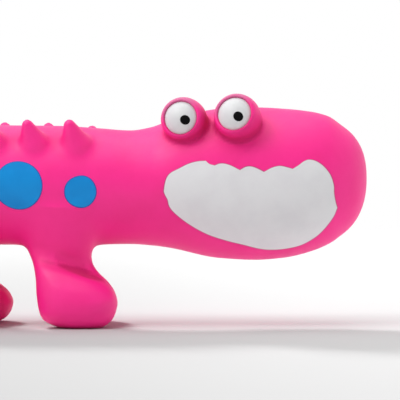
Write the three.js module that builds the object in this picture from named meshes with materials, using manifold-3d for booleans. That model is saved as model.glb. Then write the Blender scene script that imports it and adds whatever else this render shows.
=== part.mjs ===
// A squeaky latex chew toy in the shape of a standing crocodile, about 24 cm long.
// The skin is one thin latex casting, drawn as a head, a torso, a tail and four legs a hair apart.
// Polyester fibre fills it, a squeaker sits in the torso, and a latex plug with a vent closes the belly.
// The mouth, the eyes and the spots are thick coats of coloured latex on top of the skin.
// Millimetres. +X runs to the snout, +Y to the left side, +Z up. The face looks to the right side, -Y.

import * as THREE from "three";
import { mergeVertices } from "three/addons/utils/BufferGeometryUtils.js";
import Module from "manifold-3d";

const wasm = await Module();
wasm.setup();

// Driving sizes of the whole toy
const toyLength = 240;
const torsoDepth = 45.8;
const torsoWidth = 44;
const torsoHeight = 53.8; // middle of the torso above the floor
const headDepth = 59;
const headWidth = 49;
const tailTipDepth = 13.5;
const tailTipWidth = 12.5;
const tailSweep = 6; // how far the tail tip swings to the left
const tailRound = 7; // length over which the tail tip closes
const skinWall = 1.8;
const fitGap = 0.35; // clearance between pieces that touch on the real toy
const hairGap = 0.3; // gap between the sections of the skin
const cutOverrun = 60; // how far cutting shapes run past what they cut

// Where the body is divided, as shares of the toy's length, and where the snout begins to close
const tailLength = 0.275 * toyLength;
const headLength = 0.35 * toyLength;
const snoutRound = 0.488 * headLength;

// Outline of the body tube: rings from the tail tip to the snout tip. along is a share of the toy's length.
// rise is the ring's middle above the torso's middle, as a share of the torso's depth.
// deep and wide are shares of the depth and the width that the ring follows.
const tip = { depth: tailTipDepth, width: tailTipWidth };
const torso = { depth: torsoDepth, width: torsoWidth };
const head = { depth: headDepth, width: headWidth };
const bodyRingShares = [
  { along: 0, rise: -0.077, deep: 1, wide: 1, of: tip },
  { along: 0.0625, rise: -0.067, deep: 0.36, wide: 0.36, of: torso },
  { along: 0.125, rise: -0.052, deep: 0.53, wide: 0.53, of: torso },
  { along: 0.1875, rise: -0.028, deep: 0.73, wide: 0.73, of: torso },
  { along: 0.25, rise: -0.008, deep: 0.92, wide: 0.92, of: torso },
  { along: 0.3125, rise: 0, deep: 0.995, wide: 0.995, of: torso },
  { along: 0.4125, rise: 0.002, deep: 1, wide: 1, of: torso },
  { along: 0.508, rise: -0.002, deep: 0.998, wide: 1, of: torso },
  { along: 0.5725, rise: -0.012, deep: 0.976, wide: 0.98, of: torso },
  { along: 0.621, rise: -0.018, deep: 0.952, wide: 0.96, of: torso },
  { along: 0.6525, rise: -0.012, deep: 0.765, wide: 0.88, of: head },
  { along: 0.7, rise: 0.015, deep: 0.865, wide: 0.94, of: head },
  { along: 0.765, rise: 0.015, deep: 0.971, wide: 0.99, of: head },
  { along: 0.821, rise: 0.013, deep: 1, wide: 1, of: head },
  { along: 1, rise: 0.05, deep: 1, wide: 1, of: head },
];
const snoutSquareness = 2.35;
const tailSquareness = 2;
const sweepStartShare = 0.3; // of the toy's length, where the tail begins to swing

const tailTipX = -toyLength / 2;
const snoutTipX = toyLength / 2;
const tailCutX = tailTipX + tailLength;
const headCutX = snoutTipX - headLength;

// Legs. Each ring is in shares of the leg's height, foot length, stance and foot width,
// from the flat sole up into the flank.
const legHeight = 44;
const footLength = 30.4;
const footWidth = 25;
const stance = 17.2; // middle of a foot from the toy's middle plane
const legRingShares = [
  { up: 0, rear: -0.24, front: 0.345, out: 1, wide: 0.6 },
  { up: 0.027, rear: -0.33, front: 0.385, out: 1, wide: 0.74 },
  { up: 0.07, rear: -0.41, front: 0.43, out: 1, wide: 0.85 },
  { up: 0.136, rear: -0.468, front: 0.475, out: 1, wide: 0.94 },
  { up: 0.216, rear: -0.495, front: 0.502, out: 1, wide: 1 },
  { up: 0.307, rear: -0.51, front: 0.475, out: 1, wide: 1 },
  { up: 0.398, rear: -0.51, front: 0.39, out: 0.97, wide: 0.97 },
  { up: 0.477, rear: -0.52, front: 0.275, out: 0.9, wide: 0.88 },
  { up: 0.557, rear: -0.545, front: 0.185, out: 0.83, wide: 0.79 },
  { up: 0.636, rear: -0.605, front: 0.16, out: 0.78, wide: 0.74, neck: true },
  { up: 0.716, rear: -0.7, front: 0.25, out: 0.74, wide: 0.73 },
  { up: 0.818, rear: -0.66, front: 0.21, out: 0.7, wide: 0.7 },
  { up: 1, rear: -0.5, front: 0.1, out: 0.6, wide: 0.6 },
];
const legSquareness = 2.3;
const legs = [
  { name: "front_right", side: -1, fromSnoutShare: 0.461, sizeShare: 1 },
  { name: "front_left", side: 1, fromSnoutShare: 0.47, sizeShare: 0.97 },
  { name: "rear_right", side: -1, fromSnoutShare: 0.655, sizeShare: 1 },
  { name: "rear_left", side: 1, fromSnoutShare: 0.635, sizeShare: 1 },
];

// Back spikes: two rows of soft cones that lean to the tail, set half a pitch apart
const spikeHeight = 11.8;
const spikeRadius = 6.8;
const spikeOutlineShares = [[1, 0], [0.78, 0.11], [0.46, 0.5], [0.21, 0.93]]; // radius, height
const spikePitch = 0.0683 * toyLength;
const firstSpikeFromSnout = 0.463 * toyLength;
const spikeLeanShare = 0.36; // lean to the tail, as a share of the upright part
const spikeSplayShare = 0.5; // lean to the side
const pitchShrinkShare = 0.01; // how much each step along a row is shorter than the one before
const spikeShrinkShare = 0.07; // how much each spike is smaller than the one before
const leadSpikeShare = 0.62; // size of the small spike that starts the left row
// turnShare is a row's place round the body, from its top, as a share of a quarter turn.
const spikeRows = [
  { side: -1, turnShare: 0.505, startShare: 0, count: 8 },
  { side: 1, turnShare: 0.54, startShare: -0.45, count: 9 },
];

// Eyes: two pink barrels along the top right of the head, each with a white dome and a black pupil
const eyeDomeRise = 3.1;
const eyeDomeFoot = 0.5; // straight part of the dome, below its round top
const lidWidthShare = 0.25; // the pink ring round the white, as a share of the barrel's radius
const lidHeight = 0.7;
const lidCrest = 0.2;
const pupilRadius = 1.85;
const barrelStartShare = 0.7; // of the quarter turn behind the barrel's middle, sunk in the head
// Shares of the head's depth, of its length behind the snout tip, of its depth above the torso's middle,
// and of its width to the right
const eyeShares = [
  { name: "rear", radius: 0.1458, behind: 0.8393, rise: 0.4254, out: 0.3061, aim: [-0.14, -0.98, 0.05] },
  { name: "front", radius: 0.1492, behind: 0.5964, rise: 0.4441, out: 0.3755, aim: [-0.17, -0.97, 0.13] },
];
const eyes = eyeShares.map(({ name, radius, behind, rise, out, aim }) => ({
  name,
  radius: radius * headDepth,
  x: snoutTipX - behind * headLength,
  y: -out * headWidth,
  z: torsoHeight + rise * headDepth,
  aim: new THREE.Vector3(...aim).normalize(),
}));
const pupilPlaceShares = [0.27, -0.15]; // of the dome's radius: towards the snout, and up

// Coats of coloured latex
const coatThickness = 0.5;
const mouthLength = 0.788 * headLength;
const mouthHeight = 0.59 * headDepth;
const mouthRear = snoutTipX - 0.9286 * headLength;
const mouthTop = torsoHeight + 0.173 * headDepth;
// The mouth's outline, stroke by stroke, along and down from its rear top corner
const mouthOutlineShares = [
  [[0.24, 0.011], [0.26, 0.046], [0.29, 0.062]],
  [[0.29, 0.062], [0.315, 0.043], [0.345, 0.04], [0.385, 0.062], [0.434, 0.11]],
  [[0.434, 0.11], [0.468, 0.075], [0.497, 0.069], [0.53, 0.086], [0.577, 0.13]],
  [[0.577, 0.13], [0.62, 0.085], [0.665, 0.066], [0.705, 0.08], [0.742, 0.102]],
  [[0.742, 0.102], [0.775, 0.06], [0.81, 0.012], [0.838, 0], [0.874, 0.016], [0.918, 0.073]],
  [[0.918, 0.073], [0.957, 0.166], [0.977, 0.276], [0.98, 0.37], [0.99, 0.47], [1, 0.53]],
  [[1, 0.53], [0.978, 0.631], [0.93, 0.758], [0.874, 0.86], [0.795, 0.945], [0.706, 0.987]],
  [[0.706, 0.987], [0.62, 1], [0.55, 0.987], [0.462, 0.945], [0.357, 0.894], [0.252, 0.825]],
  [[0.252, 0.825], [0.155, 0.725], [0.077, 0.614], [0.033, 0.522], [0.02, 0.436]],
  [[0.02, 0.436], [0.002, 0.369], [0, 0.327], [0.012, 0.217], [0.037, 0.149], [0.086, 0.098]],
  [[0.086, 0.098], [0.138, 0.048], [0.19, 0.019], [0.24, 0.011]],
];
// A spot's place is a share of the toy's length from its middle, and its rise, radius and lobe are shares
// of the torso's depth. lobeBack is how far behind its spot the second, smaller lobe of that spot lies.
const spotShares = [
  { name: "shoulder", at: 0.045, rise: -0.046, radius: 0.135, lobeBack: 0, lobe: 0.135 },
  { name: "flank", at: -0.0525, rise: 0.0065, radius: 0.201, lobeBack: 0.24, lobe: 0.151 },
  { name: "rump", at: -0.179, rise: 0.07, radius: 0.135, lobeBack: 0, lobe: 0.135 },
  { name: "tail_root", at: -0.271, rise: -0.05, radius: 0.1135, lobeBack: 0, lobe: 0.1135 },
  { name: "tail", at: -0.35, rise: -0.072, radius: 0.085, lobeBack: 0, lobe: 0.085 },
];

// Belly plug and its hole, and the squeaker above it
const plugFromSnout = 0.5833 * toyLength;
const plugHoleRadius = 3.8;
const plugFlangeRadius = 5.4;
const plugFlange = 1;
const ventRadius = 1.2;
const bladderRadius = 15;
const bladderHalf = 9;
const bladderWall = 0.9;
const bladderRise = 3; // middle of the bladder above the torso's middle
const neckRadius = 5.6;
const neckLength = 4;
const barrelRadius = 4.3;
const barrelWall = 0.8;
const barrelLength = 13;
const barrelFlange = 1;
const reedLength = 9.5;
const reedWidth = 4.2;
const reedThickness = 0.4;
const reedClampLength = 2.4;
const reedLift = 0.45; // free gap between the reed and its seat
const channelWidth = 2.2;
const channelDepth = 1.4;

// Mesh fineness
const bodySides = 24;
const bodyStep = 6.8;
const tailCapRings = 3;
const snoutCapRings = 8;
const innerSides = 12;
const innerStep = 15;
const innerCapRings = 3;
const legSides = 14;
const innerLegSides = 8;
const spikeSides = 7;
const roundSides = 20;
const smallSides = 12;
const arcSteps = 7;
const mouthSegments = 2;
const tipShare = 0.05; // the ring nearest to a tip, as a share of a quarter turn

const latexPink = new THREE.MeshStandardMaterial({ color: 0xef2f83, roughness: 0.5, metalness: 0 });
const coatWhite = new THREE.MeshStandardMaterial({ color: 0xe9e8ea, roughness: 0.42, metalness: 0 });
const coatBlue = new THREE.MeshStandardMaterial({ color: 0x2088cf, roughness: 0.45, metalness: 0 });
const coatBlack = new THREE.MeshStandardMaterial({ color: 0x0c0c0d, roughness: 0.25, metalness: 0 });
const fibreWhite = new THREE.MeshStandardMaterial({ color: 0xf4f3ef, roughness: 0.95, metalness: 0 });
const squeakerPlastic = new THREE.MeshStandardMaterial({ color: 0xe8ecee, roughness: 0.4, metalness: 0 });
const reedPlastic = new THREE.MeshStandardMaterial({ color: 0xd9b44a, roughness: 0.35, metalness: 0 });

// Solids from geometries, and back

function solid(geometry) {
  const bare = geometry.index ? geometry.toNonIndexed() : geometry.clone();
  bare.deleteAttribute("normal");
  bare.deleteAttribute("uv");
  const merged = mergeVertices(bare, 1e-4);
  return new wasm.Manifold(
    new wasm.Mesh({
      numProp: 3,
      vertProperties: new Float32Array(merged.attributes.position.array),
      triVerts: new Uint32Array(merged.index.array),
    }),
  );
}

function meshOf(name, made, material) {
  const { vertProperties, triVerts } = made.getMesh();
  const geometry = new THREE.BufferGeometry();
  geometry.setAttribute("position", new THREE.BufferAttribute(new Float32Array(vertProperties), 3));
  geometry.setIndex(new THREE.BufferAttribute(new Uint32Array(triVerts), 1));
  geometry.computeVertexNormals();
  const mesh = new THREE.Mesh(geometry, material);
  mesh.name = name;
  return mesh;
}

function boxSolid(low, high) {
  const size = new THREE.Vector3().subVectors(high, low);
  const geometry = new THREE.BoxGeometry(size.x, size.y, size.z);
  const middle = new THREE.Vector3().addVectors(low, high).multiplyScalar(0.5);
  return solid(geometry.translate(middle.x, middle.y, middle.z));
}

// A closed skin over rings of points, with a point that closes each end.
function loft(rings, startPoint, endPoint) {
  const sides = rings[0].length;
  const points = [startPoint, ...rings.flat(), endPoint];
  const last = points.length - 1;
  const faces = [];
  const at = (ring, side) => 1 + ring * sides + (side % sides);
  for (let side = 0; side < sides; side++) {
    faces.push(0, at(0, side + 1), at(0, side));
    faces.push(last, at(rings.length - 1, side), at(rings.length - 1, side + 1));
    for (let ring = 0; ring + 1 < rings.length; ring++) {
      const [a, b] = [at(ring, side), at(ring, side + 1)];
      const [c, d] = [at(ring + 1, side), at(ring + 1, side + 1)];
      faces.push(a, b, d, a, d, c);
    }
  }
  const geometry = new THREE.BufferGeometry().setFromPoints(points);
  geometry.setIndex(faces);
  return geometry;
}

// The same skin moved outwards by a distance, or inwards where it is negative.
function inflated(geometry, distance) {
  const moved = geometry.clone();
  moved.computeVertexNormals();
  const place = moved.attributes.position;
  const normal = moved.attributes.normal;
  for (let i = 0; i < place.count; i++) {
    place.setXYZ(
      i,
      place.getX(i) + normal.getX(i) * distance,
      place.getY(i) + normal.getY(i) * distance,
      place.getZ(i) + normal.getZ(i) * distance,
    );
  }
  return moved;
}

// A smooth curve through values at rising places, which never overshoots them.
function smoothValue(places, values, place) {
  const last = places.length - 1;
  let i = 0;
  while (i < last - 1 && place > places[i + 1]) i++;
  const slope = (k) => (values[k + 1] - values[k]) / (places[k + 1] - places[k]);
  const tangent = (k) => {
    if (k === 0) return slope(0);
    if (k === last) return slope(last - 1);
    const [before, after] = [slope(k - 1), slope(k)];
    return before * after <= 0 ? 0 : (2 * before * after) / (before + after);
  };
  const width = places[i + 1] - places[i];
  const t = (place - places[i]) / width;
  const rest = 1 - t;
  return (
    values[i] * (1 + 2 * t) * rest * rest +
    width * tangent(i) * t * rest * rest +
    values[i + 1] * t * t * (3 - 2 * t) -
    width * tangent(i + 1) * t * t * rest
  );
}

// The body tube at a place along X: its middle, half depth and half width.
function bodyAt(x) {
  const places = bodyRingShares.map(({ along }) => tailTipX + along * toyLength);
  const heights = bodyRingShares.map(({ rise }) => torsoHeight + rise * torsoDepth);
  const depths = bodyRingShares.map(({ deep, of }) => deep * of.depth);
  const widths = bodyRingShares.map(({ wide, of }) => wide * of.width);
  const snoutShare = Math.max(0, (x - (snoutTipX - snoutRound)) / snoutRound);
  const tailShare = Math.max(0, (tailTipX + tailRound - x) / tailRound);
  const closing = (share, squareness) =>
    Math.pow(Math.max(0, 1 - Math.pow(share, squareness)), 1 / squareness);
  const open = closing(snoutShare, snoutSquareness) * closing(tailShare, tailSquareness);
  const sweepLength = sweepStartShare * toyLength;
  const swing = Math.max(0, (tailTipX + sweepLength - x) / sweepLength);
  return {
    y: tailSweep * swing * swing,
    z: smoothValue(places, heights, x),
    halfDepth: (open * smoothValue(places, depths, x)) / 2,
    halfWidth: (open * smoothValue(places, widths, x)) / 2,
  };
}

// Places of the rings along X, close together where the ends round off.
function ringPlaces(step, tailRings, snoutRings) {
  const capPlaces = (count, tip, reach) =>
    Array.from({ length: count }, (_, i) => {
      const turn = (Math.PI / 2) * (tipShare + (i * (1 - tipShare)) / count);
      return tip + reach * (1 - Math.cos(turn));
    });
  const from = tailTipX + tailRound;
  const to = snoutTipX - snoutRound;
  const count = Math.round((to - from) / step);
  const middle = Array.from({ length: count + 1 }, (_, i) => from + ((to - from) * i) / count);
  const tailCap = capPlaces(tailRings, tailTipX, tailRound);
  const snoutCap = capPlaces(snoutRings, snoutTipX, -snoutRound).reverse();
  return [...tailCap, ...middle, ...snoutCap];
}

function bodyTube(sides, places) {
  const rings = places.map((x) => {
    const { y, z, halfDepth, halfWidth } = bodyAt(x);
    return Array.from({ length: sides }, (_, i) => {
      const turn = (i / sides) * 2 * Math.PI;
      return new THREE.Vector3(x, y + halfWidth * Math.cos(turn), z + halfDepth * Math.sin(turn));
    });
  });
  const [tailPoint, snoutPoint] = [tailTipX, snoutTipX].map((x) => {
    const { y, z } = bodyAt(x);
    return new THREE.Vector3(x, y, z);
  });
  return loft(rings, tailPoint, snoutPoint);
}

function legColumn({ side, fromSnoutShare, sizeShare }, sides, ringShares) {
  const middleX = snoutTipX - fromSnoutShare * toyLength;
  const rounded = (value) => Math.sign(value) * Math.pow(Math.abs(value), 2 / legSquareness);
  const rings = ringShares.map((ring) => {
    const rear = middleX + ring.rear * footLength * sizeShare;
    const front = middleX + ring.front * footLength * sizeShare;
    const half = (ring.wide * footWidth * sizeShare) / 2;
    return Array.from({ length: sides }, (_, i) => {
      const turn = (i / sides) * 2 * Math.PI;
      return new THREE.Vector3(
        (rear + front) / 2 + ((front - rear) / 2) * rounded(Math.cos(turn)),
        side * ring.out * stance + half * rounded(Math.sin(turn)),
        ring.up * legHeight,
      );
    });
  });
  const middle = (ring) =>
    new THREE.Vector3().addVectors(ring[0], ring[sides / 2]).multiplyScalar(1 / 2);
  return loft(rings, middle(rings[0]), middle(rings.at(-1)));
}

// One spike: a soft cone with hollow flanks and a round tip, sunk a little into the skin.
function spike(side, turnShare, step) {
  const x = snoutTipX - firstSpikeFromSnout - spikePitch * step * (1 - pitchShrinkShare * step);
  const scale = step < 0 ? leadSpikeShare : 1 - spikeShrinkShare * step;
  const { y, z, halfDepth, halfWidth } = bodyAt(x);
  const radius = spikeRadius * scale;
  const height = spikeHeight * scale;
  const flank = spikeOutlineShares.map(([wide, up]) => new THREE.Vector2(radius * wide, height * up));
  const root = [new THREE.Vector2(0, -skinWall / 2), new THREE.Vector2(radius, -skinWall / 2)];
  const cone = new THREE.LatheGeometry([...root, ...flank, new THREE.Vector2(0, height)], spikeSides);
  const lean = new THREE.Vector3(-spikeLeanShare, side * spikeSplayShare, 1).normalize();
  cone.applyQuaternion(new THREE.Quaternion().setFromUnitVectors(new THREE.Vector3(0, 1, 0), lean));
  const turn = (turnShare * Math.PI) / 2;
  const out = y + side * halfWidth * Math.sin(turn);
  return solid(cone.translate(x, out, z + halfDepth * Math.cos(turn)));
}

// A turned piece on an eye's axis. The profile is in radii and in distances along the axis.
function turnedOnEye(eye, profile) {
  const lathe = new THREE.LatheGeometry(profile.map(([r, h]) => new THREE.Vector2(r, h)), roundSides);
  lathe.applyQuaternion(new THREE.Quaternion().setFromUnitVectors(new THREE.Vector3(0, 1, 0), eye.aim));
  return solid(lathe.translate(eye.x, eye.y, eye.z));
}

function eyeSizes({ radius }) {
  const domeRadius = radius * (1 - lidWidthShare) - fitGap;
  const seatRadius = domeRadius + fitGap;
  const rimRadius = seatRadius + (radius - seatRadius) / 3;
  const rimHeight = Math.sqrt(radius * radius - rimRadius * rimRadius);
  return { domeRadius, seatRadius, rimRadius, rimHeight, seatHeight: rimHeight - lidHeight };
}

function eyeBarrel(eye) {
  const { seatRadius, rimRadius, rimHeight, seatHeight } = eyeSizes(eye);
  const start = (-Math.PI / 2) * barrelStartShare;
  const end = Math.asin(rimHeight / eye.radius);
  const round = Array.from({ length: arcSteps }, (_, i) => {
    const turn = start + ((end - start) * i) / (arcSteps - 1);
    return [eye.radius * Math.cos(turn), eye.radius * Math.sin(turn)];
  });
  const crest = [(rimRadius + seatRadius) / 2, rimHeight + lidCrest];
  return turnedOnEye(eye, [
    [0, round[0][1]],
    ...round,
    crest,
    [seatRadius, rimHeight],
    [seatRadius, seatHeight],
    [0, seatHeight],
  ]);
}

// The white dome stands on the barrel's seat: a short straight foot under a round cap.
function eyeDome(eye, grown) {
  const { domeRadius, seatHeight } = eyeSizes(eye);
  const foot = seatHeight + fitGap;
  const radius = domeRadius + grown;
  const rise = eyeDomeRise + grown;
  const sphere = (radius * radius + rise * rise) / (2 * rise);
  const reach = Math.asin(radius / sphere);
  const top = foot + eyeDomeFoot + rise;
  const arc = Array.from({ length: arcSteps }, (_, i) => {
    const turn = reach * (1 - i / arcSteps);
    return [sphere * Math.sin(turn), top - sphere * (1 - Math.cos(turn))];
  });
  return turnedOnEye(eye, [[0, foot], [radius, foot], ...arc, [0, top]]);
}

// The pupil is a thin round coat on the dome, a little towards the snout and down.
function pupil(eye) {
  const [towardsSnout, up] = pupilPlaceShares;
  const { domeRadius, seatHeight } = eyeSizes(eye);
  const rod = new THREE.CylinderGeometry(pupilRadius, pupilRadius, cutOverrun, smallSides);
  rod.translate(0, seatHeight + eyeDomeRise / 2 + cutOverrun / 2, 0);
  rod.applyQuaternion(new THREE.Quaternion().setFromUnitVectors(new THREE.Vector3(0, 1, 0), eye.aim));
  rod.translate(eye.x + domeRadius * towardsSnout, eye.y, eye.z + domeRadius * up);
  const shell = eyeDome(eye, fitGap + coatThickness).subtract(eyeDome(eye, fitGap));
  return shell.intersect(solid(rod));
}

function mouthShape() {
  const shape = new THREE.Shape();
  for (const stroke of mouthOutlineShares) {
    const points = stroke.map(([along, down]) => new THREE.Vector2(along * mouthLength, -down * mouthHeight));
    if (stroke === mouthOutlineShares[0]) shape.moveTo(points[0].x, points[0].y);
    shape.splineThru(points.slice(1));
  }
  return shape;
}

// A prism that runs out to one side from the middle plane, with its outline seen from that side.
function sidePrism(shape, side, x, z, curveSegments) {
  const options = { depth: cutOverrun, bevelEnabled: false, curveSegments };
  const prism = new THREE.ExtrudeGeometry(shape, options);
  prism.rotateX(Math.PI / 2);
  if (side > 0) prism.translate(0, cutOverrun, 0);
  return solid(prism.translate(x, 0, z));
}

function discPrism(radius, side, x, z) {
  const disc = new THREE.Shape().absarc(0, 0, radius, 0, 2 * Math.PI);
  return sidePrism(disc, side, x, z, smallSides / 2);
}

// The whole toy as three nested solids: outside, inside of the skin, and the fibre fill

const outerPlaces = ringPlaces(bodyStep, tailCapRings, snoutCapRings);
const innerPlaces = ringPlaces(innerStep, innerCapRings, 2 * innerCapRings);
const innerLegRingShares = legRingShares.filter(({ neck }, i) => neck || i % 2 === 0);
const bodyOutside = bodyTube(bodySides, outerPlaces);
const legOutsides = legs.map((leg) => legColumn(leg, legSides, legRingShares));
const bodyInside = bodyTube(innerSides, innerPlaces);
const legInsides = legs.map((leg) => legColumn(leg, innerLegSides, innerLegRingShares));

const joined = (first, others) => others.reduce((sum, next) => sum.add(next), first);
const bodyCore = (depth) => solid(inflated(bodyInside, -depth));
const legCores = (depth) => legInsides.map((leg) => solid(inflated(leg, -depth)));
const inside = joined(bodyCore(skinWall), legCores(skinWall));
const bodyOver = (grown) => solid(inflated(bodyOutside, grown));
const coatShell = bodyOver(fitGap + coatThickness).subtract(bodyOver(fitGap));

const plugX = snoutTipX - plugFromSnout;
function bellyRod(radius) {
  const rod = new THREE.CylinderGeometry(radius, radius, torsoHeight, roundSides).rotateX(Math.PI / 2);
  return solid(rod.translate(plugX, 0, torsoHeight / 2));
}

// The space between two cuts across the toy
function slab(fromX, toX) {
  const top = torsoHeight + cutOverrun;
  const low = new THREE.Vector3(fromX, -cutOverrun, -cutOverrun);
  return boxSolid(low, new THREE.Vector3(toX, cutOverrun, top));
}

const half = hairGap / 2;
const slabs = {
  tail: slab(tailTipX - cutOverrun, tailCutX - half),
  torso: slab(tailCutX + half, headCutX - half),
  head: slab(headCutX + half, snoutTipX + cutOverrun),
};

// Skin: the body with its spikes and eye barrels in three sections, and the legs cut where they meet it

const spikes = spikeRows.flatMap(({ side, turnShare, startShare, count }) =>
  Array.from({ length: count }, (_, i) => spike(side, turnShare, startShare + i)),
);
const barrels = eyes.map(eyeBarrel);
const dressedBody = joined(solid(bodyOutside), [...spikes, ...barrels]).subtract(inside);
const torsoSkin = dressedBody.intersect(slabs.torso).subtract(bellyRod(plugHoleRadius));
const toy = new THREE.Group();
toy.add(meshOf("head_skin", dressedBody.intersect(slabs.head), latexPink));
toy.add(meshOf("torso_skin", torsoSkin, latexPink));
toy.add(meshOf("tail_skin", dressedBody.intersect(slabs.tail), latexPink));
const bodyAndGap = bodyOver(hairGap);
legs.forEach(({ name }, i) => {
  const skin = solid(legOutsides[i]).subtract(bodyAndGap).subtract(inside);
  toy.add(meshOf(name + "_leg_skin", skin, latexPink));
});

// Squeaker: a bladder with its neck down, a barrel pressed into the neck, and the reed on its seat

const bladderHeight = torsoHeight + bladderRise;
function turnedOnSqueaker(profile) {
  const points = profile.map(([r, h]) => new THREE.Vector2(r, h));
  const lathe = new THREE.LatheGeometry(points, roundSides).rotateX(Math.PI / 2);
  return solid(lathe.translate(plugX, 0, bladderHeight));
}

// A flattened ball that runs into a neck below, seen as a half outline from the top down.
function bladderOutline(shrink) {
  const [radius, depth, neck] = [bladderRadius, bladderHalf, neckRadius].map((size) => size - shrink);
  const end = Math.asin(neck / radius);
  const arc = Array.from({ length: arcSteps + 1 }, (_, i) => {
    const turn = ((Math.PI - end) * i) / arcSteps;
    return [i === 0 ? 0 : radius * Math.sin(turn), depth * Math.cos(turn)];
  });
  return [...arc, [neck, -bladderHalf - neckLength]];
}

const bladderWallOutline = [...bladderOutline(0), ...bladderOutline(bladderWall).reverse()];
const bladder = turnedOnSqueaker(bladderWallOutline.reverse());
toy.add(meshOf("squeaker_bladder", bladder, squeakerPlastic));

const barrelFoot = -bladderHalf - neckLength - fitGap - barrelFlange;
const barrelBore = barrelRadius - barrelWall;
const barrel = turnedOnSqueaker([
  [barrelBore, barrelFoot],
  [neckRadius, barrelFoot],
  [neckRadius, barrelFoot + barrelFlange],
  [barrelRadius, barrelFoot + barrelFlange],
  [barrelRadius, barrelFoot + barrelLength],
  [barrelBore, barrelFoot + barrelLength],
  [barrelBore, barrelFoot],
]);
toy.add(meshOf("squeaker_barrel", barrel, squeakerPlastic));

// The seat and the wedge are cut from a rod in the barrel, and hold the reed between them at its top.
const seatRadius = barrelBore - fitGap;
const seatFoot = bladderHeight + barrelFoot + fitGap;
const seatTop = bladderHeight + barrelFoot + barrelLength - fitGap;
const rodSolid = solid(
  new THREE.CylinderGeometry(seatRadius, seatRadius, seatTop - seatFoot, roundSides)
    .rotateX(Math.PI / 2)
    .translate(plugX, 0, (seatFoot + seatTop) / 2),
);
const seatFace = plugX - reedThickness / 2 - reedLift;
const wedgeFace = plugX + reedThickness / 2 + fitGap;
const clampFoot = seatTop - reedClampLength;
const across = (fromX, toX, halfWidth, fromZ, toZ) =>
  boxSolid(new THREE.Vector3(fromX, -halfWidth, fromZ), new THREE.Vector3(toX, halfWidth, toZ));
const seatBlock = across(plugX - barrelRadius, seatFace, barrelRadius, seatFoot, seatTop);
const wedgeBlock = across(wedgeFace, plugX + barrelRadius, barrelRadius, clampFoot, seatTop);
const channelBack = seatFace - channelDepth;
const channel = across(channelBack, plugX, channelWidth / 2, seatFoot - fitGap, clampFoot - fitGap);
const reedHalf = reedThickness / 2;
const reed = across(plugX - reedHalf, plugX + reedHalf, reedWidth / 2, seatTop - reedLength, seatTop);
const seat = rodSolid.intersect(seatBlock).subtract(channel);
toy.add(meshOf("squeaker_reed_seat", seat, squeakerPlastic));
toy.add(meshOf("squeaker_wedge", rodSolid.intersect(wedgeBlock), squeakerPlastic));
toy.add(meshOf("squeaker_reed", reed, reedPlastic));

// Belly plug: flush with the skin outside, held by a flange inside, with a vent through it

const plugSpace = bodyCore(skinWall + fitGap + plugFlange);
const plugStem = bellyRod(plugHoleRadius - fitGap).intersect(solid(bodyOutside)).subtract(plugSpace);
const plugLip = bellyRod(plugFlangeRadius).intersect(bodyCore(skinWall + fitGap)).subtract(plugSpace);
const plug = plugStem.add(plugLip).subtract(bellyRod(ventRadius));
toy.add(meshOf("belly_plug", plug, latexPink));

// Fibre fill: wads in the three sections and in the legs, with a pocket for the squeaker

const pocketOutline = [...bladderOutline(-fitGap), [0, -bladderHalf - neckLength]];
const pocket = turnedOnSqueaker(pocketOutline.reverse());
const passage = bellyRod(neckRadius + fitGap);
const bodyFill = bodyCore(skinWall + fitGap);
const torsoFill = bodyFill.intersect(slabs.torso).subtract(pocket).subtract(passage);
toy.add(meshOf("head_fill", bodyFill.intersect(slabs.head), fibreWhite));
toy.add(meshOf("torso_fill", torsoFill, fibreWhite));
toy.add(meshOf("tail_fill", bodyFill.intersect(slabs.tail), fibreWhite));
const bodyFillAndGap = bodyCore(skinWall);
legCores(skinWall + fitGap).forEach((core, i) => {
  toy.add(meshOf(legs[i].name + "_leg_fill", core.subtract(bodyFillAndGap), fibreWhite));
});

// Coats: the mouth, the eyes and the spots

const mouthPrism = sidePrism(mouthShape(), -1, mouthRear, mouthTop, mouthSegments);
toy.add(meshOf("mouth_coat", coatShell.intersect(mouthPrism), coatWhite));
for (const eye of eyes) {
  toy.add(meshOf(eye.name + "_eye_white", eyeDome(eye, 0), coatWhite));
  toy.add(meshOf(eye.name + "_pupil", pupil(eye), coatBlack));
}
for (const { name, at, rise, radius, lobeBack, lobe } of spotShares) {
  const [x, z] = [at * toyLength, torsoHeight + rise * torsoDepth];
  for (const [word, side] of [["right", -1], ["left", 1]]) {
    const lobeDisc = discPrism(lobe * torsoDepth, side, x - lobeBack * torsoDepth, z);
    const prism = discPrism(radius * torsoDepth, side, x, z).add(lobeDisc);
    toy.add(meshOf(`${word}_${name}_spot`, coatShell.intersect(prism), coatBlue));
  }
}

export default toy;
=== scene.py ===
# A squeaky latex chew toy in the shape of a standing crocodile, as it looks when new.
# The toy's lengths are in millimetres until a mesh is made, those of the floor, the lamps and the
# camera in metres. +X runs to the snout, -Y to the side of the face.

import math

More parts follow.
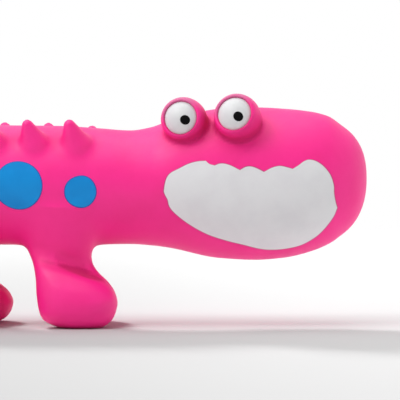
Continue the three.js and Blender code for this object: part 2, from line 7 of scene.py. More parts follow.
import bpy
import numpy as np
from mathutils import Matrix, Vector


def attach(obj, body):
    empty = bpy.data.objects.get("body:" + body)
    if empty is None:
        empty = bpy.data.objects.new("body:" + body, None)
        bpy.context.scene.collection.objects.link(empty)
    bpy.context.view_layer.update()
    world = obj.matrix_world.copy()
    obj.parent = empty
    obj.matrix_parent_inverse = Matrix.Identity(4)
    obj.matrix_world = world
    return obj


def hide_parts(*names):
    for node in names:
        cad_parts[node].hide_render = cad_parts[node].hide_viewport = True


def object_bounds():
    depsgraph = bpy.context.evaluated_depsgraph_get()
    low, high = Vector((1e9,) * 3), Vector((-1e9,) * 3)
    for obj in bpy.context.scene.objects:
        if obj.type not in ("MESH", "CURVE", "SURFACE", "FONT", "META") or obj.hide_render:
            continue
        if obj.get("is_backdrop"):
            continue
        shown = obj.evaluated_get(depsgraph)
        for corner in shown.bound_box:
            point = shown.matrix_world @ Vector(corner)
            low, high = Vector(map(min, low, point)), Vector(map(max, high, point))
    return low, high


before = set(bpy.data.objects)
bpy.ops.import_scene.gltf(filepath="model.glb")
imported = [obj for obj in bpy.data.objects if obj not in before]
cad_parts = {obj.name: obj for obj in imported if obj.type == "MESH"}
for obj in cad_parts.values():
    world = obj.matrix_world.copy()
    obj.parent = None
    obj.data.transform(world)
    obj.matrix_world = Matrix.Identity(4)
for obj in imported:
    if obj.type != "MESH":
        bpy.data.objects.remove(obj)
cad_low, cad_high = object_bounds()

# The latex skin
# One thin casting of soft pink latex: a tube of a body that swells to a big head and tapers to the
# tail, four stubby legs, two rows of soft spikes and two eye balls. It is dipped in one piece, so
# every part runs into the next with a small fillet.

MM = 0.001
PINK = (0.94, 0.010, 0.26)
PINK_DEEP = (0.84, 0.004, 0.20)
# Painted shade for creases and the eye balls' lower front, and a painted highlight for the lids,
# each with its share
PINK_PAINTED_SHADE, PAINTED_SHADE_SHARE = (0.53, 0.001, 0.11), 0.9
PINK_PAINTED_HIGHLIGHT, PAINTED_HIGHLIGHT_SHARE = (0.61, 0.13, 0.30), 0.85

# The latex's texture: size and detail of each noise, where two of them tint the pink and how much,
# how dull it is and what dulls it more, and the depth of its relief
CLOUDS, GRAIN, PEEL, SMEARS = (14.0, 3.0), (1.1, 2.0), (2.4, 1.0), (5.0, 2.0)
CLOUD_SPAN, CLOUD_SHARE, GRAIN_SPAN, GRAIN_SHARE = (0.35, 0.7), 0.35, (0.5, 0.8), 0.12
PINK_SATIN, SMEAR_DULL, GRAIN_DULL, HOLLOW_DULL, PINK_SHINE = 0.4, 0.12, 0.05, 0.4, 0.5
CLOUD_RELIEF, GRAIN_RELIEF, PEEL_RELIEF = 0.25, 0.012, 0.03

# Rings of the body: place along X, middle height, half depth, half width
BODY_RINGS = np.array(
    [
        (-120.0, 50.27, 6.75, 6.25),
        (-105.0, 50.73, 8.24, 7.92),
        (-90.0, 51.42, 12.14, 11.66),
        (-75.0, 52.52, 16.72, 16.06),
        (-60.0, 53.43, 21.07, 20.24),
        (-45.0, 53.80, 22.79, 21.89),
        (-21.0, 53.80, 22.95, 22.00),
        (1.9, 53.62, 22.92, 22.00),
        (17.4, 53.25, 22.35, 21.56),
        (29.0, 52.93, 21.87, 21.12),
        (36.6, 53.25, 22.67, 21.56),
        (48.0, 54.45, 25.60, 23.03),
        (63.6, 54.40, 28.75, 24.26),
        (77.0, 54.30, 29.35, 24.50),
        (88.0, 54.45, 29.05, 24.50),
        (94.4, 54.80, 29.05, 24.50),
        (102.1, 55.40, 29.40, 24.50),
        (106.0, 55.65, 29.60, 24.60),
        (110.0, 55.65, 29.20, 24.70),
        (115.6, 55.90, 29.90, 25.10),
        (120.0, 56.40, 30.40, 25.40),
    ]
)
TAIL_TIP, SNOUT_TIP = -120.0, 120.0
TAIL_ROUND, TAIL_SQUARENESS = 7.0, 2.0
SNOUT_ROUND, SNOUT_SQUARENESS = 41.0, 2.35
TAIL_SWING, SWING_LENGTH, SWING_END = 6.0, 72.0, 1.2

# Rings of a leg: height, rear, front, middle out to the side, half width
LEG_RINGS = np.array(
    [
        (0.0, -6.6, 9.4, 16.6, 6.6),
        (1.2, -9.8, 11.3, 16.9, 8.9),
        (3.1, -12.9, 13.3, 17.1, 10.7),
        (6.0, -14.4, 14.65, 17.05, 11.85),
        (9.5, -15.1, 15.3, 16.85, 12.15),
        (13.5, -15.55, 14.2, 16.3, 11.7),
        (17.5, -15.75, 11.4, 15.1, 10.7),
        (20.3, -16.1, 8.3, 13.9, 9.7),
        (22.4, -16.5, 6.6, 12.5, 8.6),
        (24.6, -17.1, 5.5, 11.4, 7.8),
        (28.0, -18.3, 4.9, 10.8, 7.4),
        (33.0, -19.0, 4.9, 11.0, 7.9),
        (38.0, -19.0, 4.9, 11.3, 8.5),
        (44.0, -19.0, 4.9, 11.3, 8.9),
    ]
)
LEG_SQUARENESS = 2.3
LEG_FILLET, SOLE_ROUND = 10.0, 1.0
LEG_TILT, TILT_FROM, TILT_OVER = 0.28, 6.0, 14.0
CREASE_DEPTH, CREASE_HEIGHT, CREASE_SLOPE, CREASE_ABOVE, CREASE_BELOW = 3.8, 23.8, 0.42, 5.5, 1.5
CREASE_FROM, CREASE_OVER = -2.0, 10.0

# Legs: place along X, side, size and how high the foot's shape stands, of a full one
LEGS = [(9.36, -1, 1.0, 1.0), (7.2, 1, 0.97, 1.0), (-37.2, -1, 1.0, 1.0), (-32.4, 1, 1.0, 0.82)]

# Spikes: a round foot sunk in the back and a round tip. They lean back and outward, and shrink
# where the body is less than its full half depth.
SPIKE_HEIGHT, SPIKE_FOOT, SPIKE_TIP = 9.4, 5.9, 2.2
SPIKE_SINK, SPIKE_FILLET, SPIKE_LEAN = 2.0, 4.5, (-0.3, 0.5, 1.0)
SPIKE_SHRINK, FULL_DEPTH = 0.55, 22.95

# Rows of spikes: side, turn from the top as a share of a quarter, first place, pitch, number, and
# the size of the first and of the rest
SPIKE_ROWS = [(-1, 0.46, 8.3, 16.0, 8, 1.0, 0.95), (1, 0.51, 15.4, 17.0, 8, 0.93, 0.97)]

# Eyes: radius, middle, the way they look, and the pupil's place forward and up from the middle
EYES = {
    "rear": (8.6, (49.9, -15.0, 78.7), (-0.27, -0.95, 0.175), (2.4, -1.3)),
    "front": (8.8, (70.2, -18.4, 79.6), (-0.27, -0.93, 0.30), (2.1, -1.95)),
}
EYE_FILLET = 3.2
EYE_FACE_SHARE, EYE_FACE_ROUND, EYE_SQUARENESS = 0.55, 1.0, 2.5

# The vent in the belly, where the plug goes
PLUG_X, WELL_RADIUS, WELL_TOP = -20.0, 2.6, 36.0

# How far from its middle a leg, a spike and an eye ball still shape the skin
LEG_SHIFT, LEG_NEAR, LEG_NEAR_TOP, LEG_NEAR_SIDE = 3, 34, 56, -10
SPIKE_NEAR, EYE_NEAR = 22, 22

# The cells that the skin is drawn in: spare room round it, the size of a cell, smoothing passes
SKIN_MARGIN, SKIN_CELL, SKIN_PASSES = 3.1, 1.05, 5
FIRST_PASSES, LONGEST_STEP, LEAST_SLOPE, SLOPE_REACH = 3, 0.6, 0.05, 0.05


def curve(table, column, place):
    """A smooth curve through one column of a ring table, which never overshoots its values."""
    places, values = table[:, 0], table[:, column]
    slopes = np.diff(values) / np.diff(places)
    before, after = slopes[:-1], slopes[1:]
    level = before * after <= 0
    total = np.where(level, 1.0, before + after)
    inner = np.where(level, 0.0, 2 * before * after / total)
    tangents = np.concatenate([slopes[:1], inner, slopes[-1:]])
    place = np.clip(place, places[0], places[-1])
    i = np.clip(np.searchsorted(places, place) - 1, 0, len(places) - 2)
    width = places[i + 1] - places[i]
    t = (place - places[i]) / width
    rest = 1 - t
    return (
        values[i] * (1 + 2 * t) * rest**2
        + width * tangents[i] * t * rest**2
        + values[i + 1] * t**2 * (3 - 2 * t)
        - width * tangents[i + 1] * t**2 * rest
    )


def joined(a, b, fillet):
    """Two fields as one body, with a fillet where they meet."""
    near = np.maximum(fillet - np.abs(a - b), 0) / fillet
    return np.minimum(a, b) - near**3 * fillet / 6


def body_field(p):
    """The body alone, from the tail's tip to the snout, with the tail swung to the left."""
    x, y, z = p.T
    middle, deep, wide = (curve(BODY_RINGS, column, x) for column in (1, 2, 3))
    swing = np.clip((TAIL_TIP + SWING_LENGTH - x) / SWING_LENGTH, 0, SWING_END)
    across = np.hypot((y - TAIL_SWING * swing**2) / wide, (z - middle) / deep)
    snout = np.maximum(0, (x - SNOUT_TIP + SNOUT_ROUND) / SNOUT_ROUND)
    tail = np.maximum(0, (TAIL_TIP + TAIL_ROUND - x) / TAIL_ROUND)
    end = np.maximum(snout, tail)
    power = np.where(x > 0, SNOUT_SQUARENESS, TAIL_SQUARENESS)
    return ((across**power + end**power) ** (1 / power) - 1) * np.sqrt(deep * wide)


def leg_field(p, x, side, size, high):
    """A leg with its foot, a crease above the foot's front and a flat sole."""
    up = p[:, 2] / high
    rear, front = (curve(LEG_RINGS, column, up) for column in (1, 2))
    length = (front - rear) * size / 2
    forward = p[:, 0] - x - (front + rear) * size / 2
    tilted = up + LEG_TILT * forward * np.clip((up - TILT_FROM) / TILT_OVER, 0, 1)
    out, half = (curve(LEG_RINGS, column, tilted) for column in (3, 4))
    over = up + CREASE_SLOPE * forward - CREASE_HEIGHT
    crease = CREASE_DEPTH * np.exp(-((over / np.where(over > 0, CREASE_ABOVE, CREASE_BELOW)) ** 2))
    half = half - crease * np.clip((forward - CREASE_FROM) / CREASE_OVER, 0, 1)
    along = np.abs(forward) / length
    across = np.abs(p[:, 1] - side * out) / (half * size)
    ring = (along**LEG_SQUARENESS + across**LEG_SQUARENESS) ** (1 / LEG_SQUARENESS)
    column = np.maximum((ring - 1) * np.minimum(length, half), p[:, 2] - LEG_RINGS[-1, 0])
    return -joined(-column, p[:, 2], SOLE_ROUND)


def spike_field(p, foot, tip, foot_radius, tip_radius):
    """Distance to a cone with a round foot and a round tip."""
    axis = tip - foot
    length = np.linalg.norm(axis)
    along = (p - foot) @ (axis / length)
    out = np.sqrt(np.maximum(((p - foot) ** 2).sum(1) - along**2, 0))
    lean = (foot_radius - tip_radius) / length
    upright = math.sqrt(1 - lean**2)
    turned = along * upright - out * lean
    flank = out * upright + along * lean - foot_radius
    at_foot = np.hypot(out, along) - foot_radius
    at_tip = np.hypot(out, along - length) - tip_radius
    return np.where(turned < 0, at_foot, np.where(turned > length * upright, at_tip, flank))


def spikes():
    """Foot, tip and size of each spike. The rows stand half a pitch apart."""
    for side, turn_share, first, pitch, count, first_size, next_size in SPIKE_ROWS:
        for step in range(count):
            x = first - pitch * step
            middle, deep, wide = (curve(BODY_RINGS, column, x) for column in (1, 2, 3))
            size = next_size if step else first_size
            size *= 1 - SPIKE_SHRINK * (1 - deep / FULL_DEPTH)
            swing = max(0.0, (TAIL_TIP + SWING_LENGTH - x) / SWING_LENGTH)
            turn = turn_share * math.pi / 2
            out = TAIL_SWING * swing**2 + side * wide * math.sin(turn)
            root = np.array((x, out, middle + deep * math.cos(turn)))
            lean = np.array(SPIKE_LEAN) * (1, side, 1)
            lean /= np.linalg.norm(lean)
            tip = root + lean * (SPIKE_HEIGHT - SPIKE_TIP) * size
            yield root - lean * SPIKE_SINK * size, tip, size


def eye_axis(aim):
    """The way an eye looks, as a vector of length 1."""
    aim = np.array(aim)
    return aim / np.linalg.norm(aim)


def skin_field(p):
    """Below zero inside the skin, above zero outside, and about the distance near it."""
    value = body_field(p)
    for x, side, size, high in LEGS:
        near = np.abs(p[:, 0] - x + LEG_SHIFT) < LEG_NEAR
        near &= (p[:, 2] < LEG_NEAR_TOP) & (side * p[:, 1] > LEG_NEAR_SIDE)
        value[near] = joined(value[near], leg_field(p[near], x, side, size, high), LEG_FILLET)
    for foot, tip, size in spikes():
        near = np.linalg.norm(p - (foot + tip) / 2, axis=1) < SPIKE_NEAR
        cone = spike_field(p[near], foot, tip, SPIKE_FOOT * size, SPIKE_TIP * size)
        value[near] = joined(value[near], cone, SPIKE_FILLET * size)
    for radius, centre, aim, _ in EYES.values():
        centre, aim = np.array(centre), eye_axis(aim)
        near = np.linalg.norm(p - centre, axis=1) < EYE_NEAR
        along = (p[near] - centre) @ aim
        out = np.sqrt(np.maximum(((p[near] - centre) ** 2).sum(1) - along**2, 0))
        ball = out**EYE_SQUARENESS + np.abs(along) ** EYE_SQUARENESS
        ball = ball ** (1 / EYE_SQUARENESS) - radius
        ball = -joined(-ball, radius * EYE_FACE_SHARE - along, EYE_FACE_ROUND)
        value[near] = joined(value[near], ball, EYE_FILLET)
    well = np.hypot(p[:, 0] - PLUG_X, p[:, 1]) - WELL_RADIUS
    return np.maximum(value, -np.maximum(well, p[:, 2] - WELL_TOP))


def slope(field, p):
    """The field's gradient at points."""
    sides = np.eye(3) * SLOPE_REACH
    return np.stack([(field(p + d) - field(p - d)) / (2 * SLOPE_REACH) for d in sides], axis=1)


def on_surface(field, p, passes):
    """Points moved to the field's zero surface along its slope."""
    for _ in range(passes):
        g = slope(field, p)
        steps = field(p) / np.maximum((g**2).sum(1), LEAST_SLOPE)
        p = p - np.clip(steps, -LONGEST_STEP, LONGEST_STEP)[:, None] * g
    return p


def net(field, low, high, step, passes):
    """The zero surface of a field as points, one in each cell it crosses, and four-sided faces."""
    axes = [np.arange(a, b + step, step) for a, b in zip(low, high)]
    shape = tuple(len(a) for a in axes)
    grid = np.stack(np.meshgrid(*axes, indexing="ij"), axis=-1).reshape(-1, 3)
    inside = (field(grid) < 0).reshape(shape)
    cells = tuple(n - 1 for n in shape)
    count = np.zeros(cells, int)
    for i, j, k in np.ndindex(2, 2, 2):
        count += inside[i : i + cells[0], j : j + cells[1], k : k + cells[2]]
    mixed = (count > 0) & (count < 8)
    number = np.full(cells, -1)
    number[mixed] = np.arange(mixed.sum())
    points = np.argwhere(mixed) * step + np.array([a[0] for a in axes]) + step / 2
    faces = []
    for axis in range(3):
        order = [axis, *(a for a in range(3) if a != axis)]
        solid, cell = np.transpose(inside, order), np.transpose(number, order)
        a, b, c = np.nonzero(solid[:-1, 1:-1, 1:-1] != solid[1:, 1:-1, 1:-1])
        ring = [cell[a, b, c], cell[a, b + 1, c], cell[a, b + 1, c + 1], cell[a, b, c + 1]]
        quad = np.stack(ring, axis=1)
        turned = solid[a, b + 1, c + 1] == (axis == 1)
        quad[turned] = quad[turned][:, ::-1]
        faces.append(quad)
    faces = np.concatenate(faces)
    edges = np.concatenate([faces[:, [k, (k + 1) % 4]] for k in range(4)])
    ties = np.bincount(edges[:, 0], minlength=len(points))[:, None]
    points = on_surface(field, points, FIRST_PASSES)
    for _ in range(passes):
        sums = [np.bincount(edges[:, 0], points[edges[:, 1], k], len(points)) for k in range(3)]
        points = on_surface(field, (points + np.stack(sums, axis=1) / ties) / 2, 1)
    return points, faces


def piece(name, points, faces, body, *nodes):
    """A smooth mesh object from points in millimetres, which stands for CAD nodes."""
    mesh = bpy.data.meshes.new(name)
    mesh.from_pydata((np.asarray(points) * MM).tolist(), [], [list(map(int, f)) for f in faces])
    mesh.polygons.foreach_set("use_smooth", [True] * len(mesh.polygons))
    mesh.update()
    made = bpy.data.objects.new(name, mesh)
    bpy.context.scene.collection.objects.link(made)
    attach(made, body)
    if nodes:
        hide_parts(*nodes)
    return made


class Wire:
    """An output of a shader node. Arithmetic with it adds Math nodes to its material."""

    def __init__(self, finish, socket):
        self.finish = finish
        self.socket = socket

    def math(self, operation, first, second):
        return self.finish.node("ShaderNodeMath", {"operation": operation}, {0: first, 1: second})

    def __add__(self, other):
        return self.math("ADD", self, other)

    def __sub__(self, other):
        return self.math("SUBTRACT", self, other)

    def __rsub__(self, other):
        return self.math("SUBTRACT", other, self)

    def __mul__(self, other):
        return self.math("MULTIPLY", self, other)

    __radd__ = __add__
    __rmul__ = __mul__


class Finish:
    """The nodes of a material or of the room. node() adds one: its settings first, then sockets."""

    def __init__(self, owner):
        self.owner = owner
        owner.use_nodes = True
        self.tree = owner.node_tree
        self.tree.nodes.clear()
        self.place = self.node("ShaderNodeTexCoord", output="Object")

    def node(self, kind, settings=None, inputs=None, output=0):
        made = self.tree.nodes.new(kind)
        for name, value in (settings or {}).items():
            setattr(made, name, value)
        for name, value in (inputs or {}).items():
            socket = made.inputs[name]
            if isinstance(value, Wire):
                self.tree.links.new(value.socket, socket)
            else:
                socket.default_value = (*value, 1) if socket.type == "RGBA" else value
        return Wire(self, made.outputs[output]) if len(made.outputs) else None

    def noise(self, size, detail):
        """Cloudy noise about 0.5, with features of a size in millimetres and this much detail."""
        inputs = {"Vector": self.place, "Scale": 1 / (size * MM), "Detail": detail}
        return self.node("ShaderNodeTexNoise", None, inputs)

    def step(self, value, start, end):
        """0 up to start, 1 from end on, and smooth between them."""
        inputs = {"Value": value, "From Min": start, "From Max": end}
        return self.node("ShaderNodeMapRange", {"interpolation_type": "SMOOTHSTEP"}, inputs)

    def mixed(self, share, first, second):
        """The first colour where share is 0, the second where it is 1."""
        return self.node("ShaderNodeMix", {"data_type": "RGBA"}, {0: share, 6: first, 7: second}, 2)

    def bump(self, height, depth, normal=None):
        """A relief of a depth in millimetres, on top of another one if that is given."""
        inputs = {"Height": height, "Distance": depth * MM}
        if normal:
            inputs["Normal"] = normal
        return self.node("ShaderNodeBump", None, inputs)

    def measured(self, name):
        """A number that the mesh carries at its points."""
        return self.node("ShaderNodeAttribute", {"attribute_name": name}, None, "Fac")

    def in_view(self):
        """1 for what is seen straight, in gloss or through glass, and 0 for other light."""
        straight = self.node("ShaderNodeLightPath", output="Is Camera Ray")
        in_gloss = self.node("ShaderNodeLightPath", output="Is Glossy Ray")
        return straight + in_gloss + self.node("ShaderNodeLightPath", output="Is Transmission Ray")

    def done(self, inputs):
        """The finished material, whose shader takes these values and links."""
        shader = self.node("ShaderNodeBsdfPrincipled", None, inputs)
        self.node("ShaderNodeOutputMaterial", None, {"Surface": shader})
        return self.owner


def material(name):
    """A new material without any nodes that colour it yet."""
    return Finish(bpy.data.materials.new(name))


pink = material("pink_latex")
clouds = pink.noise(*CLOUDS)
grain = pink.noise(*GRAIN)
peel = pink.noise(*PEEL)
tone = pink.mixed(pink.step(clouds, *CLOUD_SPAN) * CLOUD_SHARE, PINK, PINK_DEEP)
# Painted shade in creases and on the eye balls, and a painted highlight on the lids
painted_shade = pink.measured("painted_shade")
tone = pink.mixed(painted_shade * PAINTED_SHADE_SHARE, tone, PINK_PAINTED_SHADE)
tone = pink.mixed(pink.measured("painted_highlight") * PAINTED_HIGHLIGHT_SHARE, tone, PINK_PAINTED_HIGHLIGHT)
satin = PINK_SATIN + pink.noise(*SMEARS) * SMEAR_DULL + grain * GRAIN_DULL + painted_shade * HOLLOW_DULL
dipped = pink.bump(peel, PEEL_RELIEF, pink.bump(clouds, CLOUD_RELIEF))
pink_latex = pink.done(
    {
        "Base Color": pink.mixed(pink.step(grain, *GRAIN_SPAN) * GRAIN_SHARE, tone, PINK_DEEP),
        "Roughness": satin,
        "Specular IOR Level": PINK_SHINE,
        "Normal": pink.bump(grain, GRAIN_RELIEF, dipped),
    }
)

skin_low, skin_high = (np.array(c) / MM for c in (cad_low, cad_high))
skin_low, skin_high = skin_low - SKIN_MARGIN, skin_high + SKIN_MARGIN
skin_points, skin_faces = net(skin_field, skin_low, skin_high, SKIN_CELL, SKIN_PASSES)
skin = piece(
    "latex_skin",
    skin_points,
    skin_faces,
    "toy",
    "head_skin",
    "torso_skin",
    "tail_skin",
    *(f"{end}_{side}_leg_skin" for end in ("front", "rear") for side in ("right", "left")),
)

# Painted shade, darkening the pink where shade falls in creases. Hollows are felt for in six
# slanted directions, at three distances, and the shade is deeper the less the way out of the latex
# rises there. It counts for more below the belly and for nothing under the soles.
HOLLOW_WAYS, HOLLOW_REACHES, HOLLOW_START, PAINTED_SHADE_GAIN = 6, (1.0, 2.6, 4.6), 0.88, 2.0
LEG_EXTRA, LEG_TOP, LEG_FADE = 1.3, 40.0, 12.0
SOLE_CLEAR = 8.0

# Painted shade is mostly kept off the head round the eye balls, between two distances in ball radii
EVEN_SHARE, EVEN_START, EVEN_RISE, EVEN_END, EVEN_FADE = 0.85, 1.1, 0.14, 2.4, 0.5

# On the eye balls, painted shade darkens the lower front and a painted highlight pales the lids'
# upper rear
SHADED_SIDE, BALL_SHADE_SHARE, BALL_REACH, BALL_FADE = (0.45, 0.0, -0.89), 0.9, 1.22, 0.15
LIT_SIDE, HIGHLIGHT_START, HIGHLIGHT_TURN = (-0.38, 0.0, 0.925), 0.05, 0.6
HIGHLIGHT_FOOT, HIGHLIGHT_RISE = 0.29, 0.12


def painted_shade_depth(points):
    """How much painted shade each point gets in creases of the skin, from 0 on the open skin."""
    out = slope(skin_field, points)
    steep = np.linalg.norm(out, axis=1)
    out /= steep[:, None]
    first = np.cross(out, np.where(np.abs(out[:, :1]) < 0.9, (1.0, 0.0, 0.0), (0.0, 0.0, 1.0)))
    first /= np.linalg.norm(first, axis=1)[:, None]
    second = np.cross(out, first)
    shares = []
    for turn in np.arange(HOLLOW_WAYS) * 2 * math.pi / HOLLOW_WAYS:
        slanted = out + first * math.cos(turn) + second * math.sin(turn)
        for reach in HOLLOW_REACHES:
            ahead = reach * math.sqrt(0.5)
            rise = skin_field(points + slanted * ahead) / (ahead * steep)
            shares.append(np.clip((HOLLOW_START - rise) / HOLLOW_START, 0, 1))
    gain = PAINTED_SHADE_GAIN * (1 + LEG_EXTRA * np.clip((LEG_TOP - points[:, 2]) / LEG_FADE, 0, 1))
    return gain * sum(shares) / len(shares) * np.clip(points[:, 2] / SOLE_CLEAR, 0, 1)


def dipped_in_pink(made, points):
    """Gives a piece the pink latex, with painted shade in creases and on the eye balls' lower
    front, and a painted highlight on the lids.
    """
    places = [(points - np.array(centre)) / radius for radius, centre, _, _ in EYES.values()]
    distances = [np.linalg.norm(place, axis=1) for place in places]
    far = np.minimum(*distances)
    even = np.clip((far - EVEN_START) / EVEN_RISE, 0, 1)
    even *= np.clip((EVEN_END - far) / EVEN_FADE, 0, 1)
    # deep holds the painted shade, pale the painted highlight
    deep = painted_shade_depth(points) * (1 - EVEN_SHARE * even)
    pale = np.zeros(len(points))
    for place, distance, (_, _, aim, _) in zip(places, distances, EYES.values()):
        near = np.clip((BALL_REACH - distance) / BALL_FADE, 0, 1)
        # Painted shade on the ball's lower front
        deep += BALL_SHADE_SHARE * near * np.clip(place @ np.array(SHADED_SIDE), 0, 1)
        # Painted highlight on the lid's upper rear
        along = place @ eye_axis(aim)
        side = place - np.outer(along, eye_axis(aim))
        side /= np.linalg.norm(side, axis=1)[:, None]
        turned = np.clip((side @ np.array(LIT_SIDE) - HIGHLIGHT_START) / HIGHLIGHT_TURN, 0, 1)
        pale += near * turned * np.clip((along - HIGHLIGHT_FOOT) / HIGHLIGHT_RISE, 0, 1)
    # The painted shade and the painted highlight are kept on the mesh's points
    for word, share in (("painted_shade", deep), ("painted_highlight", pale)):
        layer = made.data.attributes.new(word, "FLOAT", "POINT")
        layer.data.foreach_set("value", np.clip(share, 0, 1))
    made.data.materials.append(pink_latex)


dipped_in_pink(skin, skin_points)

# The eyes
# Each eye ball ends in a lid, a raised ring of the pink skin. A white dome sits in it, poured thick
# enough to stand proud and shine, and a drop of black latex makes the pupil.

EYE_WHITE, EYE_WHITE_HAZE = (0.67, 0.675, 0.68), (0.64, 0.64, 0.655)
PUPIL_BLACK, PUPIL_SOFT_BLACK = (0.002, 0.002, 0.002), (0.004, 0.004, 0.0045)

# Their textures: noises that tint, dull and ripple, then how dull, how shiny and how deep each is
WHITE_CLOUDS, WHITE_SMEARS, WHITE_RIPPLES = (6.0, 2.0), (2.0, 2.0), (3.0, 1.0)
WHITE_SPAN, WHITE_SATIN, WHITE_DULL, WHITE_SHINE, WHITE_RELIEF = (0.3, 0.75), 0.3, 0.1, 0.25, 0.02
PUPIL_CLOUDS, PUPIL_SMEARS, PUPIL_RIPPLES = (0.8, 2.0), (0.5, 2.0), (0.7, 1.0)
PUPIL_SATIN, PUPIL_DULL, PUPIL_SHINE, PUPIL_RELIEF = 0.34, 0.12, 0.05, 0.01

# Outline of the lid ring, as shares of the ball's radius out from its axis and along it
LID_SHARES = [(0.972, 0.29), (0.96, 0.40), (0.937, 0.48), (0.905, 0.555)]
LID_SHARES += [(0.87, 0.61), (0.83, 0.64), (0.79, 0.647), (0.766, 0.633)]
LID_SHARES += [(0.75, 0.60), (0.743, 0.555), (0.74, 0.48), (0.80, 0.35)]
WHITE_RADIUS, WHITE_FOOT, WHITE_RIM, WHITE_TOP = 0.724, 0.44, 0.565, 0.925
WHITE_TUCK, DOME_TIP = 0.98, 0.06
EYE_SIDES, DOME_RINGS = 72, 14

# The pupil's drop: its radius, and its outline in shares of that and heights on the white
PUPIL_RADIUS = 1.8
PUPIL_DROP = [(1.0, -0.3), (1.0, 0.0), (0.985, 0.08), (0.94, 0.12), (0.6, 0.14), (0.25, 0.15)]


def lofted(rings, start=None, end=None, loop=False):
    """Points and faces of a skin over rings of points, closed by a point at an end or as a loop."""
    sides, count = len(rings[0]), len(rings)
    points = np.concatenate(rings)
    faces = []
    for ring in range(count if loop else count - 1):
        a, b = ring * sides, (ring + 1) % count * sides
        for i in range(sides):
            j = (i + 1) % sides
            faces.append((a + i, a + j, b + j, b + i))
    if start is not None:
        points = np.concatenate([points, [start, end]])
        last = (count - 1) * sides
        for i in range(sides):
            j = (i + 1) % sides
            faces.append((len(points) - 2, j, i))
            faces.append((len(points) - 1, last + i, last + j))
    return points, faces


def rings_about(profile, centre, aim, sides):
    """Rings of a turned piece, from its outline in radii and distances along its axis."""
    first = np.cross(aim, (0.0, 0.0, 1.0) if abs(aim[2]) < 0.9 else (1.0, 0.0, 0.0))
    first /= np.linalg.norm(first)
    second = np.cross(aim, first)
    turns = np.arange(sides) * 2 * math.pi / sides
    circle = np.outer(np.cos(turns), first) + np.outer(np.sin(turns), second)
    return [centre + circle * r + aim * h for r, h in profile]


def dome_height(r, radius):
    """How high the white dome stands at a distance from its axis."""
    foot, rise = WHITE_RADIUS * radius, (WHITE_TOP - WHITE_RIM) * radius
    ball = (foot**2 + rise**2) / (2 * rise)
    return WHITE_TOP * radius - ball + np.sqrt(ball**2 - r**2)


white = material("eye_white_latex")
haze = white.step(white.noise(*WHITE_CLOUDS), *WHITE_SPAN)
eye_white = white.done(
    {
        "Base Color": white.mixed(haze, EYE_WHITE, EYE_WHITE_HAZE),
        "Roughness": WHITE_SATIN + white.noise(*WHITE_SMEARS) * WHITE_DULL,
        "Specular IOR Level": WHITE_SHINE,
        "Normal": white.bump(white.noise(*WHITE_RIPPLES), WHITE_RELIEF),
    }
)
black = material("pupil_latex")
pupil_black = black.done(
    {
        "Base Color": black.mixed(black.noise(*PUPIL_CLOUDS), PUPIL_BLACK, PUPIL_SOFT_BLACK),
        "Roughness": PUPIL_SATIN + black.noise(*PUPIL_SMEARS) * PUPIL_DULL,
        "Specular IOR Level": PUPIL_SHINE,
        "Normal": black.bump(black.noise(*PUPIL_RIPPLES), PUPIL_RELIEF),
    }
)

for name, (radius, centre, aim, look) in EYES.items():
    centre, aim = np.array(centre), eye_axis(aim)
    profile = np.array(LID_SHARES) * radius
    points, faces = lofted(rings_about(profile, centre, aim, EYE_SIDES), loop=True)
    dipped_in_pink(piece(name + "_eye_lid", points, faces, "toy"), points)

    radii = WHITE_RADIUS * radius * np.sin(np.linspace(math.pi / 2, DOME_TIP, DOME_RINGS))
    profile = [(WHITE_RADIUS * radius * WHITE_TUCK, WHITE_FOOT * radius)]
    profile += [(r, dome_height(r, radius)) for r in radii]
    rings = rings_about(profile, centre, aim, EYE_SIDES)
    ends = (centre + aim * WHITE_FOOT * radius, centre + aim * WHITE_TOP * radius)
    dome = piece(name + "_eye_dome", *lofted(rings, *ends), "toy", name + "_eye_white")
    dome.data.materials.append(eye_white)

    forward = np.array((1.0, 0.0, 0.0)) - aim * aim[0]
    forward /= np.linalg.norm(forward)
    up = np.cross(forward, aim) * (1 if np.cross(forward, aim)[2] > 0 else -1)
    shift = forward * look[0] + up * look[1]
    turns = np.arange(EYE_SIDES // 2) * 4 * math.pi / EYE_SIDES
    drop = []
    for share, rise in PUPIL_DROP:
        spread = PUPIL_RADIUS * share
        flat = shift + spread * (np.outer(np.cos(turns), forward) + np.outer(np.sin(turns), up))
        height = dome_height(np.linalg.norm(flat, axis=1), radius) + rise
        drop.append(centre + flat + np.outer(height, aim))
    hub = dome_height(np.linalg.norm(shift), radius)
    ends = [centre + shift + aim * (hub + PUPIL_DROP[end][1]) for end in (0, -1)]
    pupil = piece(name + "_pupil_drop", *lofted(drop, *ends), "toy", name + "_pupil")
    pupil.data.materials.append(pupil_black)

# The mouth and the spots
# Coats of coloured latex brushed on the skin before it cures: a white mouth with a scalloped upper
# edge on the right of the head, and blue spots along both flanks. Their rims are darker: partly the
# pink showing through where they thin, partly painted shade along the edge.

# Each coat's light tone, deep tone, and its darker rim colour, which is partly painted shade
MOUTH_COLOURS = ((0.73, 0.73, 0.745), (0.70, 0.695, 0.715), (0.48, 0.01, 0.15))
SPOT_COLOURS = ((0.004, 0.255, 0.65), (0.003, 0.225, 0.60), (0.03, 0.05, 0.33))
MOUTH_SATIN, MOUTH_SHINE = 0.34, 0.15
SPOT_SATIN, SPOT_SHINE = 0.38, 0.2

# The brushed texture of both: its noises, where two of them tint and how much, and its relief
COAT_CLOUDS, COAT_GRAIN, COAT_SMEARS, COAT_WAVES = (9.0, 3.0), (1.3, 2.0), (4.0, 2.0), (7.0, 2.0)
COAT_CLOUD_SPAN, COAT_GRAIN_SPAN, COAT_GRAIN_SHARE = (0.35, 0.7), (0.55, 0.8), 0.25
COAT_DULL, COAT_GRAIN_RELIEF, COAT_WAVE_RELIEF = 0.12, 0.012, 0.05

